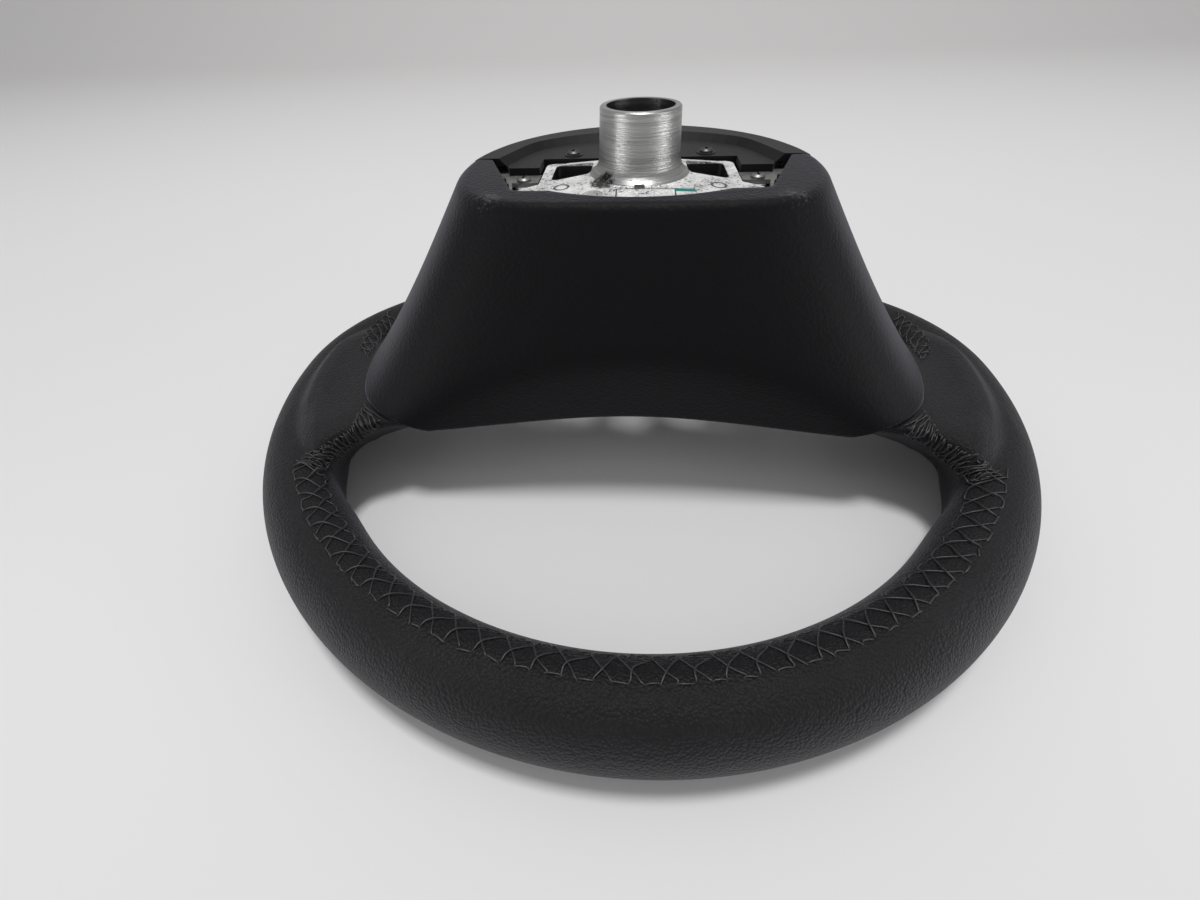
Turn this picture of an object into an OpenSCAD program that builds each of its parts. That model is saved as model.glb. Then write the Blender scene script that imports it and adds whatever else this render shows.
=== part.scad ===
// Leather-laced steering wheel without its centre pad, lying on its front.
// Heights are counted up from the front of the rim, X runs across, and the
// twelve o'clock side of the wheel is at -Y. Each piece is lowered at the end,
// so that the origin is the centre of the column bore's mouth.

/* [Rim] */
// Outer diameter across the round part of the rim
rim_d = 380; // [360:1:400]
// Width of the rim's section, seen from the front
rim_w = 34.7; // [32:0.1:37]
// Depth of the rim's section, front to back
rim_depth = 41.7; // [39:0.1:44]
// Radius of the rim's centre line in the two lower corners
corner_r = 80; // [74:1:86]
// Radius of the rim's centre line along the flattened bottom
bottom_r = 205; // [190:1:230]

/* [Leather] */
// Thickness of the leather skin
leather_t = 1.3; // [1:0.1:1.8]
// Gap left between pieces that lie against each other
seat_gap = 0.2; // [0.1:0.05:0.3]
// Diameter of the lacing thread
thread_d = 0.9; // [0.6:0.1:1.2]
// Length of rim that one crossing of the lacing takes
lace_pitch = 9.6; // [8:0.1:12]
// Angle of the outer lacing row, inwards from the back of the rim
lace_outer_a = 5; // [2:1:10]
// Angle of the inner lacing row, inwards from the back of the rim
lace_inner_a = 43; // [36:1:50]

/* [Spokes] */
// Half width of a side spoke where it meets the cover
spoke_half_w = 35; // [30:1:38]
// Distance from the hub axis to the end of the spoke's leather
spoke_end_x = 101; // [98:1:105]
// How far a side spoke is set towards the top of the wheel
spoke_shift = 20; // [16:1:24]
// Height of the back of the leather at its end
spoke_back_z = 49; // [46:1:52]
// Height of the front of the leather at its end
spoke_front_z = 10; // [7:1:13]
// Rounding of the spoke's long edges
spoke_round = 15; // [12:1:17]
// Radius of the hollow curve into the rim, towards the top of the wheel
near_web_r = 20; // [17:1:23]
// Radius of the hollow curve into the rim, towards the bottom of the wheel
far_web_r = 26; // [22:1:30]

/* [Frame casting] */
// Outer diameter of the hub tube at its mouth
hub_d = 31.6; // [30:0.1:34]
// Diameter of the smooth column bore
bore_d = 26.4; // [25:0.1:27.4]
// Radius of the fillet at the foot of the hub tube
hub_fillet = 7; // [5:0.5:8]
// Depth of the smooth column bore
bore_l = 27; // [24:0.5:30]
// Height of the hub tube's mouth above the front of the rim
hub_top_z = 155; // [150:0.5:160]
// Height of the back of the cast plate
plate_z = 130; // [129:0.5:131]
// Thickness of the cast plate
plate_t = 6; // [5:0.5:8]
// Half width of the cast plate beside its pockets
plate_half_w = 41; // [40:0.5:42]
// How far the cast plate reaches towards the bottom of the wheel
plate_far_y = 20.5; // [19.5:0.5:21.5]
// Width of the plate outside a pocket
pocket_rim = 4.5; // [3.5:0.5:5]
// Rise of the cast plate towards the hub tube
plate_rise = 1.6; // [1:0.1:1.8]
// Depth of the pocket walls and of the screw bosses
pocket_depth = 16; // [13:0.5:18]
// Width of a cast arm
arm_w = 30; // [24:1:34]
// Thickness of a cast arm's flat
arm_t = 6; // [5:0.5:8]
// Thickness of the cast ribs and pocket walls
rib_t = 3; // [2.5:0.1:4]
// Width of the cast channel inside the rim
core_w = 15; // [13:0.5:17]
// Depth of the cast channel inside the rim
core_depth = 13; // [11:0.5:15]
// Outer diameter of the hub's boss behind the plate
boss_d = 44; // [42:0.5:48]

/* [Splined bush] */
// Outer diameter of the steel bush
bush_d = 30; // [28:0.1:32]
// Length of the steel bush
bush_l = 22; // [18:0.5:24]
// Diameter over the tips of the internal serrations
spline_tip_d = 17; // [16:0.1:18]
// Diameter at the root of the internal serrations
spline_root_d = 18.4; // [18.2:0.1:20]
// Number of serrations
spline_n = 40; // [30:1:48]

/* [Rear covers] */
// Height of the covers' top rim
cover_z = 134.5; // [133.5:0.1:136]
// Height of the covers' lower edge
cover_edge_z = 42; // [40:0.5:44]
// Wall of the covers
cover_t = 2.8; // [2.4:0.1:3.2]
// Radius of the covers' round top rim
top_r = 73; // [71:0.5:75]
// Reach of the upper cover over the side spokes, at its lower edge
skirt_r = 145; // [142:0.5:148]
// Radius of the lower cover's bowl at its lower edge
bowl_r = 92; // [88:0.5:95]
// Distance from the hub axis to the upper cover's flat face, at the top
face_y = 48; // [46:0.5:50]
// Distance from the hub axis to the foot of the flat face
face_foot_y = 69.5; // [67:0.5:72]
// Distance from the hub axis to the undercut lower edge, in the middle
undercut_y = 51; // [49:0.5:54]
// How much further out the undercut edge stands at the spokes
undercut_bow = 14.5; // [12:0.5:17]
// Width of the flat rim round the opening, where the covers meet
land_w = 9; // [8:0.5:10]
// Width of the flat rim in the middle of the near face
near_land_w = 8.5; // [7.5:0.5:9.5]
// Radius of the opening's near edge
opening_near_r = 72; // [66:1:80]
// Distance from the hub axis to the opening's near corners
opening_corner_y = 31.5; // [30:0.5:33]
// Slant of the opening's straight sides
opening_slant = 20.5; // [19:0.5:22]
// Width of the flat rim at the bottom of the wheel
far_land_w = 14.5; // [13:0.5:16]
// Radius of the far edge of the lower cover's recess
recess_far_r = 78; // [72:1:86]
// Slant of the straight sides of the recess
recess_slant = 21.5; // [19:0.5:24]
// How far the walls of the recess lean in
recess_lean = 3; // [2:0.5:4]
// Depth of the lower cover's ledge below the top rim
ledge_drop = 3; // [2.6:0.1:3.4]
// Distance from the hub axis to the ledge's near edge
ledge_near_y = 9; // [8:0.5:10]
// Gap between the ledge and the casting
ledge_gap = 2; // [1.5:0.1:2.5]
// Where the two covers meet, across the wheel
split_y = 12; // [10:0.5:14]
// Gap between the two covers
split_gap = 0.6; // [0.4:0.1:0.8]
// Gap between the upper cover and the leather spokes
spoke_gap = 0.6; // [0.4:0.1:1]
// Half width of the lower spoke at the rim
foot_half_w = 27; // [23:1:31]

/* [Fasteners] */
// Head diameter of the cover screws
screw_head_d = 6; // [5.4:0.1:6.6]
// Height of the screw heads
screw_head_h = 1.6; // [1.4:0.1:2]
// Shank diameter of the cover screws
screw_d = 3.5; // [3:0.1:4]
// Outer diameter of the washers
washer_d = 8; // [7.4:0.1:8.6]
// Thickness of the washers
washer_t = 0.8; // [0.6:0.1:1]
// Depth of the seats that the washers lie in
seat_depth = 0.4; // [0.2:0.1:0.8]
// Distance from the middle of the wheel to a ledge screw
ledge_screw_x = 30; // [28:0.5:32]
// Distance from the hub axis to the line of ledge screws
ledge_screw_y = 28.5; // [28:0.5:31]
// Distance from the middle of the wheel to a bracket screw
bracket_screw_x = 49; // [48:0.5:50]
// Thickness of the side brackets
bracket_t = 1.6; // [1.2:0.1:1.8]
// Diameter of the cover's moulded pegs
peg_d = 4; // [3:0.1:4.6]

/* [Hidden] */
$fn = 96;

rim_r = (rim_d - rim_w) / 2;
rim_z = rim_depth / 2;
corner_x = rim_r - corner_r;
corner_sweep = acos(corner_x / (bottom_r - corner_r));
bottom_y = -(bottom_r - corner_r) * sin(corner_sweep);
rim_bottom = bottom_y + bottom_r;
boss_z = plate_z - 32;
bush_z = hub_top_z - bore_l - bush_l;
ledge_z = cover_z - ledge_drop;
bracket_z = ledge_z - cover_t - seat_gap;
bracket_screw = [bracket_screw_x, 1.5];
screw_l = 9;
wall_foot_z = plate_z - pocket_depth;
split_a = asin(split_y / top_r);

// The rim's centre line is four tangent arcs: the round top, two tighter
// corners and a flat bottom. Any section is swept along all of them.
module along_rim() {
    rotate_extrude(angle = 180, start = 180)
        translate([rim_r, rim_z]) children();
    for (side = [0, 1])
        mirror([side, 0, 0])
            translate([corner_x, 0, 0])
                rotate_extrude(angle = corner_sweep, start = 0)
                    translate([corner_r, rim_z]) children();
    translate([0, bottom_y, 0])
        rotate_extrude(angle = 180 - 2 * corner_sweep, start = corner_sweep)
            translate([bottom_r, rim_z]) children();
}

// Point on the rim's oval section at an angle from its inner side
function oval_point(a, inset) = [-(rim_w / 2 - inset) * cos(a), (rim_depth / 2 - inset) * sin(a)];

// Rim section: an oval, drawn in by inset
module rim_section(inset = 0) {
    steps = 40;
    polygon([for (i = [0:steps - 1]) oval_point(i * 360 / steps, inset)]);
}

// Outline of the rim seen from the front, set off from its centre line
function arc(middle, r, from, to) =
    let (steps = ceil((to - from) / 3))
    [for (i = [1:steps]) let (a = from + (to - from) * i / steps)
        middle + r * [cos(a), sin(a)]];
function rim_path(d) =
    concat(arc([0, 0], rim_r + d, 180, 360),
           arc([corner_x, 0], corner_r + d, 0, corner_sweep),
           arc([0, bottom_y], bottom_r + d, corner_sweep, 180 - corner_sweep),
           arc([-corner_x, 0], corner_r + d, 180 - corner_sweep, 180));

// Flat ring that follows the rim between two offsets from its centre line
module rim_band(half, high) {
    linear_extrude(high) difference() {
        polygon(rim_path(half));
        polygon(rim_path(-half));
    }
}

// Channel of the casting inside the rim, open towards the driver
module rim_core() {
    translate([0, 0, rim_z - core_depth / 2]) difference() {
        rim_band(core_w / 2, core_depth);
        translate([0, 0, -1]) rim_band(core_w / 2 - rib_t, core_depth - rib_t + 1);
    }
}

function lerp(a, b, t) = a + (b - a) * t;

// Leather spoke section, seen along the spoke: a flat oval drawn in by inset
module spoke_section(inset = 0) {
    h = spoke_back_z - spoke_front_z;
    offset_y = spoke_half_w - spoke_round;
    offset_z = h / 2 - spoke_round;
    r = spoke_round - inset;
    for (y = [-1, 1]) for (z = [-1, 1])
        translate([y * offset_y, z * offset_z]) circle(r = r);
    square([2 * (spoke_half_w - inset), 2 * offset_z], center = true);
    square([2 * offset_y, h - 2 * inset], center = true);
}

// Height of the leather's back over a point of the cover's edge
function leather_back(y) =
    let (side = max(abs(y + spoke_shift) - (spoke_half_w - spoke_round), 0))
    side >= spoke_round ? 0 : spoke_back_z - spoke_round + sqrt(pow(spoke_round, 2) - pow(side, 2));

// Hollow curve where a spoke runs into the rim, on one side of the spoke. It
// runs a little into both, so that it meets them at an angle.
module spoke_web(side, r, inset) {
    y = side * (spoke_half_w + r - 1) - spoke_shift;
    x = sqrt(pow(rim_r - rim_w / 2 - r + 6, 2) - pow(y, 2));
    low = spoke_front_z + 3 + inset;
    high = rim_z + 12 - inset;
    translate([0, 0, low]) linear_extrude(high - low)
        difference() {
            translate([x, min(y, 0)]) square([rim_r - x - 8, abs(y)]);
            translate([x, y]) circle(r = r + inset);
        }
}

module spoke_body(inset = 0, extra = 0) {
    both_sides() {
        translate([spoke_end_x - extra, -spoke_shift, (spoke_back_z + spoke_front_z) / 2])
            rotate([90, 0, 90])
                linear_extrude(rim_r - spoke_end_x + extra - 8) spoke_section(inset);
        spoke_web(-1, near_web_r, inset);
        spoke_web(1, far_web_r, inset);
    }
}

module both_sides() {
    children();
    mirror([1, 0, 0]) children();
}

// Outline of a bar of one thickness that follows points, with mitred bends
function unit(v) = v / norm(v);
function turned(v) = [-v.y, v.x];
function mitre(points, i) =
    let (n = len(points) - 1,
         before = turned(unit(points[max(i, 1)] - points[max(i, 1) - 1])),
         after = turned(unit(points[min(i, n - 1) + 1] - points[min(i, n - 1)])))
    (before + after) / (1 + before * after);
function bar_outline(points, thick) =
    let (n = len(points) - 1)
    concat([for (i = [0:n]) points[i] + mitre(points, i) * thick / 2],
           [for (i = [n:-1:0]) points[i] - mitre(points, i) * thick / 2]);

module bent_bar(points, thick, wide) {
    rotate([90, 0, 0]) linear_extrude(wide, center = true)
        polygon(bar_outline(points, thick));
}

// Side arm of the casting, from the plate down to the rim channel
side_path = [[-38, plate_z - plate_t / 2], [-46, plate_z - 9], [-63, plate_z - 13],
             [-106, 54], [-124, 32], [-rim_r, rim_z + 1]];
// Lower arm, out to the flattened bottom of the rim
foot_path = [[-20, plate_z - plate_t / 2], [-46, 120], [-78, 50], [-90, 34],
             [-rim_bottom, rim_z + 1]];

module arm(path, wide) {
    bent_bar(path, arm_t, wide);
    // Stiffening rib down the middle, on the driver's side, as far as the last bend
    bends = [for (i = [0:len(path) - 2]) path[i] + [2, -5]];
    bent_bar(bends, arm_t + 2, rib_t);
}

module arms() {
    both_sides() translate([0, -spoke_shift, 0]) arm(side_path, arm_w);
    rotate([0, 0, -90]) arm(foot_path, arm_w * 0.8);
}

module plate_outline() {
    side = plate_half_w;
    offset(r = 4) offset(delta = -4)
        polygon([[-side - 5, -43], [side + 5, -43], [side + 15, -38], [side + 7, -15],
                 [side, -9], [side, plate_far_y], [-side, plate_far_y], [-side, -9],
                 [-side - 7, -15], [-side - 15, -38]]);
}

module pocket_outline() {
    inner = hub_d / 2 + 4.2;
    outer = plate_half_w - pocket_rim;
    offset(r = 2.5) offset(delta = -2.5)
        polygon([[inner, -1], [outer, -6], [outer, plate_far_y - rib_t],
                 [inner, plate_far_y - rib_t]]);
}

// Hub tube with a slight draft, the fillet at its foot and the boss below
module hub_profile() {
    foot_r = hub_d / 2 + 0.6 + hub_fillet;
    foot_z = plate_z + plate_rise - 0.2;
    polygon(concat(
        [[0, boss_z], [boss_d / 2 - 1, boss_z], [boss_d / 2, boss_z + 1],
         [boss_d / 2, plate_z - 1], [foot_r, plate_z - 1]],
        [for (a = [270:-9:180])
            [foot_r, foot_z + hub_fillet] + hub_fillet * [cos(a), sin(a)]],
        [[hub_d / 2, hub_top_z - 0.5], [hub_d / 2 - 0.5, hub_top_z], [0, hub_top_z]]));
}

// The plate rises gently from its edge to the foot of the tube
module plate_dome() {
    intersection() {
        translate([0, 0, plate_z - 1]) linear_extrude(plate_rise + 1) plate_outline();
        rotate_extrude()
            polygon([[0, plate_z - 1], [plate_half_w + 3, plate_z - 1], [plate_half_w - 1, plate_z],
                     [boss_d / 2, plate_z + plate_rise], [0, plate_z + plate_rise]]);
    }
}

// Walls and bosses stand down from the plate, and each boss has a rib to the plate
module screw_bosses() {
    both_sides() {
        translate([ledge_screw_x, ledge_screw_y, wall_foot_z])
            cylinder(d = 9, h = ledge_z - cover_t - seat_gap - wall_foot_z);
        translate([ledge_screw_x - rib_t / 2, plate_far_y - rib_t, wall_foot_z])
            cube([rib_t, ledge_screw_y - plate_far_y + rib_t, pocket_depth - 2 * rib_t]);
        translate([bracket_screw.x, bracket_screw.y, wall_foot_z])
            cylinder(d = 8, h = bracket_z - bracket_t - seat_gap - wall_foot_z);
        translate([plate_half_w - 2, bracket_screw.y - rib_t / 2, wall_foot_z])
            cube([bracket_screw.x - plate_half_w + 2, rib_t, pocket_depth - 5]);
    }
}

module armature() {
    color([0.78, 0.78, 0.77])
    difference() {
        union() {
            rim_core();
            arms();
            translate([0, 0, plate_z - plate_t]) linear_extrude(plate_t) plate_outline();
            plate_dome();
            rotate_extrude() hub_profile();
            both_sides() {
                // Walls round the pockets, and a rib from the boss to the arm
                translate([0, 0, wall_foot_z]) linear_extrude(pocket_depth - 1)
                    intersection() {
                        offset(delta = rib_t) pocket_outline();
                        plate_outline();
                    }
                translate([boss_d / 2 - 2, -spoke_shift - rib_t / 2, plate_z - 14])
                    cube([28, rib_t, 10]);
            }
            screw_bosses();
            // Raised pad towards the top of the wheel
            translate([-11, -41, plate_z - 1]) cube([24, 13, plate_rise + 0.8]);
        }
        translate([0, 0, hub_top_z - bore_l]) cylinder(d = bore_d, h = bore_l + 1);
        translate([0, 0, bush_z]) cylinder(d = bush_d, h = bush_l);
        translate([0, 0, boss_z - 1]) cylinder(d = bush_d - 3, h = bush_z - boss_z + 2);
        both_sides() {
            translate([0, 0, wall_foot_z - 1])
                linear_extrude(pocket_depth + hub_fillet) pocket_outline();
            translate([34, -24, plate_z - 0.6]) cylinder(d = 6, h = 2);
            translate([ledge_screw_x, ledge_screw_y, ledge_z - cover_t - screw_l])
                cylinder(d = screw_d, h = screw_l);
            translate([bracket_screw.x, bracket_screw.y, bracket_z - bracket_t - screw_l])
                cylinder(d = screw_d, h = screw_l);
        }
        // Rough round hollow and the small locating notch
        translate([-18, -25, plate_z - 2.5]) cylinder(d = 8, h = 4);
        translate([0, -20.5, plate_z]) cube([4, 3, 5], center = true);
    }
}

module splined_bush() {
    color([0.35, 0.35, 0.37])
    translate([0, 0, bush_z + seat_gap])
        linear_extrude(bush_l - 2 * seat_gap)
            difference() {
                circle(d = bush_d - 2 * seat_gap);
                polygon([for (i = [0:2 * spline_n - 1])
                    let (r = (i % 2 == 0 ? spline_root_d : spline_tip_d) / 2,
                         a = i * 180 / spline_n)
                    [r * cos(a), r * sin(a)]]);
            }
}

module rim_foam() {
    skin = leather_t + seat_gap;
    color([0.16, 0.16, 0.17])
    difference() {
        union() {
            along_rim() rim_section(skin);
            spoke_body(skin);
        }
        rim_core();
        arms();
    }
}

module rim_leather() {
    color([0.05, 0.05, 0.055])
    difference() {
        union() {
            along_rim() rim_section();
            spoke_body();
        }
        along_rim() rim_section(leather_t);
        spoke_body(leather_t, 1);
    }
}

// A point on the leather's surface: a along the rim, b inwards from its back
function seam_point(a, b, lift) =
    let (p = oval_point(90 - b, -lift), rho = rim_r + p.x)
    [rho * cos(a), rho * sin(a), rim_z + p.y];

// A straight run of thread between two points
module strand(p, q) {
    v = q - p;
    translate(p)
        rotate([0, acos(v.z / norm(v)), atan2(v.y, v.x)])
            translate([-thread_d / 2, -thread_d / 2, 0])
                cube([thread_d, thread_d, norm(v)]);
}

// Crossed lacing: two rows of short stitches joined by crosses
module seam_lacing() {
    first = 180 + asin((spoke_shift + spoke_half_w + 2 * near_web_r) / rim_r);
    last = 540 - first;
    count = round((last - first) * PI / 180 * (rim_r - 6) / lace_pitch);
    step = (last - first) / count;
    lift = thread_d / 2 + 0.15;
    mid = (lace_outer_a + lace_inner_a) / 2;
    color([0.02, 0.02, 0.02])
    for (i = [0:count - 1]) {
        a = first + i * step;
        under = seam_point(a + step / 2, mid, lift + 0.4);
        over = seam_point(a + step / 2, mid, lift + 0.6 + thread_d);
        start = a + 0.16 * step;
        end = a + 0.84 * step;
        strand(seam_point(start, lace_outer_a, lift), under);
        strand(under, seam_point(end, lace_inner_a, lift));
        strand(seam_point(start, lace_inner_a, lift), over);
        strand(over, seam_point(end, lace_outer_a, lift));
        for (row = [lace_outer_a, lace_inner_a])
            strand(seam_point(end + 0.09 * step, row, lift),
                   seam_point(start + 0.91 * step, row, lift));
    }
}

// Outline of the covers, as a radius that varies round the hub. The round wall
// and the flat face blend with a large radius, and the undercut with a crease.
function blend(r1, r2, sharp) =
    let (low = min(r1, r2), high = max(r1, r2))
    low * pow(1 + pow(low / high, sharp), -1 / sharp);
function wall_r(z) =
    let (h = (cover_z - z) / (cover_z - cover_edge_z))
    lerp(top_r, skirt_r, 0.88 * h + 0.12 * pow(h, 3));
function face_r(a, z) =
    let (h = (cover_z - z) / (cover_z - cover_edge_z), down = max(-sin(a), 0.02))
    lerp(face_y, face_foot_y, h) / down;
function under_r(a, z, x) =
    let (down = max(-sin(a), 0.02), slope = 0.262)
    (undercut_y + undercut_bow * pow(x / 108, 2) + slope * (z - cover_edge_z)) / down;
function cover_r(a, z) =
    let (upper = blend(wall_r(z), face_r(a, z), 8))
    blend(upper, under_r(a, z, upper * cos(a)), 30);

// Radius of the opening in the covers: a curved near edge and two straight sides
function lean(a) = atan2(sin(a), abs(cos(a)));
function arc_r(a, mid, r) = mid * sin(a) + sqrt(pow(mid * sin(a), 2) + r * r - mid * mid);
function opening_r(a) =
    blend((top_r - land_w) * cos(opening_slant + split_a) / cos(lean(a) + opening_slant),
          max(arc_r(a, opening_near_r - face_y + near_land_w, opening_near_r),
              opening_corner_y / max(-sin(a), 0.02)), 24);

// The lower edge lifts over the leather spokes
function edge_z(a) =
    let (y = cover_r(a, spoke_back_z) * sin(a))
    max(cover_edge_z, leather_back(y) + spoke_gap);

// One section of the upper cover's shell; u runs from one split to the other
function split_angle(z) = asin(split_y / wall_r(z));
function cover_point(u, z, inset) =
    let (end = split_angle(z), a = lerp(-180 - end, end, u))
    [cover_r(a, z) - inset, a, z];
function shell_section(u) =
    let (levels = 7,
         mouth = cover_point(u, cover_z, 0).y,
         low = edge_z(cover_point(u, spoke_back_z, 0).y),
         outer = [for (i = [0:levels])
             cover_point(u, lerp(low, cover_z - 2, i / levels), 0)],
         inner = [for (i = [levels:-1:0])
             cover_point(u, lerp(low, cover_z - cover_t, i / levels), cover_t * 1.15)])
    concat(outer, [cover_point(u, cover_z - 0.6, 0.6), cover_point(u, cover_z, 2),
                   [opening_r(mouth), mouth, cover_z],
                   [opening_r(mouth), mouth, cover_z - cover_t]], inner);

module upper_shell() {
    steps = 48;
    sections = [for (i = [0:steps]) shell_section(i / steps)];
    n = len(sections[0]);
    points = [for (s = sections) for (p = s) [p.x * cos(p.y), p.x * sin(p.y), p.z]];
    sides = [for (i = [0:steps - 1]) for (j = [0:n - 1])
        let (k = (j + 1) % n, p = i * n, q = p + n)
        each [[p + j, q + k, q + j], [p + j, p + k, q + k]]];
    last = steps * n;
    ends = [for (j = [0:n / 2 - 2]) let (k = n - 1 - j)
        each [[j, k, j + 1], [j + 1, k, k - 1],
              [last + j, last + j + 1, last + k], [last + j + 1, last + k - 1, last + k]]];
    polyhedron(points, concat(sides, ends), convexity = 8);
}

module half_space(above) {
    size = 2 * rim_d;
    translate([-size / 2, above ? 0 : -size, 0]) cube([size, size, size]);
}

// Radius of the lower cover's bowl at a height
function bowl(z) = lerp(top_r, bowl_r, (cover_z - z) / (cover_z - cover_edge_z));

// Wall that closes the upper cover's spoke on its far side, outside the bowl
module spoke_end_wall() {
    levels = 8;
    low = cover_edge_z;
    high = cover_z - 14;
    translate([0, split_y, 0]) rotate([90, 0, 0]) linear_extrude(cover_t)
        polygon(concat(
            [for (i = [0:levels]) let (z = lerp(low, high, i / levels)) [wall_r(z) - 2, z]],
            [for (i = [levels:-1:0]) let (z = lerp(low, high, i / levels))
                [min(bowl(z), wall_r(z) - 4) - cover_t, z]]));
}

module upper_rear_cover() {
    color([0.075, 0.075, 0.085]) {
        upper_shell();
        both_sides() {
            spoke_end_wall();
            // Moulded pegs beside the bracket, under the edge of the opening
            for (p = [[top_r - 20, -19], [top_r - 17.6, -12]])
                translate([p.x, p.y, bracket_z + seat_gap])
                    cylinder(d = peg_d, h = cover_z - cover_t / 2 - bracket_z);
        }
    }
}

// Recess in the lower cover, with a far edge that is an arc and two straight sides
function recess_r(a) =
    blend((top_r - land_w - 1) * cos(recess_slant - split_a) / cos(max(lean(a), 0) - recess_slant),
          arc_r(a, top_r - far_land_w - recess_far_r, recess_far_r), 40);
module recess() {
    hull() for (level = [[0, cover_z + 0.1], [recess_lean, ledge_z]])
        translate([0, 0, level[1]]) linear_extrude(0.01)
            polygon([for (a = [-24:6:204]) (recess_r(a) - level[0]) * [cos(a), sin(a)]]);
}

// Where the ledge stops short of the casting and of the brackets
module ledge_cut() {
    side = plate_half_w + ledge_gap;
    translate([-side, -rim_d / 2]) square([2 * side, rim_d / 2 + plate_far_y + ledge_gap]);
    both_sides()
        polygon([[top_r - 15, 14], [top_r - 17, ledge_near_y - 1], [top_r, ledge_near_y - 1],
                 [top_r, 22], [top_r - 12, 22]]);
}

module foot_body(inset) {
    wide = foot_half_w - inset;
    hull() {
        for (x = [-wide + 6, wide - 6])
            translate([x, 60, 34 + inset]) cylinder(r = 6, h = 10, $fn = 32);
        for (x = [-wide + 6, wide - 6])
            translate([x, rim_bottom - 16, 20 + inset]) cylinder(r = 6, h = 26 - inset, $fn = 32);
        for (x = [-wide * 0.7 + 6, wide * 0.7 - 6])
            translate([x, 66 - inset, 100 - inset]) cylinder(r = 6, h = 1, $fn = 32);
    }
}

module lower_rear_cover() {
    ledge_foot = ledge_z - cover_t;
    color([0.16, 0.16, 0.17])
    difference() {
        union() {
            intersection() {
                rotate_extrude()
                    polygon([[bowl_r, cover_edge_z], [top_r + 0.4, cover_z - 2],
                             [top_r - 0.3, cover_z - 0.6], [top_r - 2, cover_z],
                             [0, cover_z], [0, ledge_foot], [top_r - cover_t, ledge_foot],
                             [bowl_r - cover_t, cover_edge_z]]);
                translate([0, split_y + split_gap, 0]) half_space(true);
            }
            // The ledge reaches past the split, towards the top of the wheel
            translate([0, 0, ledge_foot]) linear_extrude(cover_t)
                translate([14 - top_r, ledge_near_y]) square([2 * top_r - 28, 6]);
            difference() {
                foot_body(0);
                rotate_extrude()
                    polygon([[0, 0], [bowl_r - 1, 0], [bowl_r - 1, cover_edge_z],
                             [top_r - 1, cover_z], [0, cover_z]]);
            }
        }
        recess();
        translate([0, 0, ledge_foot - 1]) linear_extrude(cover_t + 1) ledge_cut();
        translate([0, 0, -1]) foot_body(cover_t);
        along_rim() rim_section(-spoke_gap);
        both_sides() {
            translate([ledge_screw_x, ledge_screw_y, ledge_foot - 1])
                cylinder(d = screw_d + 0.6, h = cover_t + 2);
            translate([ledge_screw_x, ledge_screw_y, ledge_z - seat_depth])
                cylinder(d = washer_d + 2 * seat_gap, h = cover_t);
        }
    }
}

// Sheet bracket that ties the two covers together beside the casting
module bracket() {
    color([0.45, 0.45, 0.44])
    difference() {
        translate([0, 0, bracket_z - bracket_t]) linear_extrude(bracket_t) {
            // Strip that runs in under the lower cover, widening on the way
            polygon([[top_r - 21.5, -13], [top_r - 18.5, -13.5], [top_r - 14.5, 0],
                     [top_r - 10.5, 12], [top_r - 8.5, 24], [top_r - 13, 25],
                     [top_r - 15.5, 13], [top_r - 19, 0]]);
            // Tab with the screw
            translate([plate_half_w + 1.5, bracket_screw.y - screw_head_d / 2])
                square([top_r - 17 - plate_half_w - 1.5, screw_head_d + 5]);
        }
        translate([bracket_screw.x, bracket_screw.y, bracket_z - bracket_t - 1])
            cylinder(d = screw_d + 0.6, h = bracket_t + 2);
    }
}

module left_bracket() {
    mirror([1, 0, 0]) bracket();
}

module right_bracket() {
    bracket();
}

// Pan-head screw with a cross recess, standing on the plane z = 0
module screw() {
    difference() {
        union() {
            rotate_extrude()
                polygon([[0, 0], [screw_head_d / 2, 0], [screw_head_d / 2, screw_head_h * 0.5],
                         [screw_head_d / 2 - 0.8, screw_head_h * 0.9],
                         [screw_head_d / 2 - 1.6, screw_head_h], [0, screw_head_h]]);
            translate([0, 0, -screw_l + 1]) cylinder(d = screw_d - 0.3, h = screw_l);
        }
        for (a = [0, 90])
            rotate([0, 0, a])
                translate([-screw_head_d * 0.3, -0.5, screw_head_h - 1])
                    cube([screw_head_d * 0.6, 1, 2]);
    }
}

module ledge_screws() {
    color([0.3, 0.3, 0.3])
    both_sides()
        translate([ledge_screw_x, ledge_screw_y, ledge_z - seat_depth + washer_t]) screw();
}

module ledge_washers() {
    color([0.25, 0.25, 0.25])
    both_sides()
        translate([ledge_screw_x, ledge_screw_y, ledge_z - seat_depth])
            difference() {
                cylinder(d = washer_d, h = washer_t);
                translate([0, 0, -1]) cylinder(d = screw_d, h = washer_t + 2);
            }
}

module bracket_screws() {
    color([0.6, 0.6, 0.6])
    both_sides()
        translate([bracket_screw.x, bracket_screw.y, bracket_z]) screw();
}

// Lowers a piece so that the bore's mouth is the origin
module placed() {
    translate([0, 0, -hub_top_z]) children();
}

placed() armature();
placed() splined_bush();
placed() rim_foam();
placed() rim_leather();
placed() seam_lacing();
placed() upper_rear_cover();
placed() lower_rear_cover();
placed() left_bracket();
placed() right_bracket();
placed() ledge_screws();
placed() ledge_washers();
placed() bracket_screws();
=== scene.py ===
import math

import bpy
import numpy as np
from mathutils import Matrix, Vector


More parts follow.
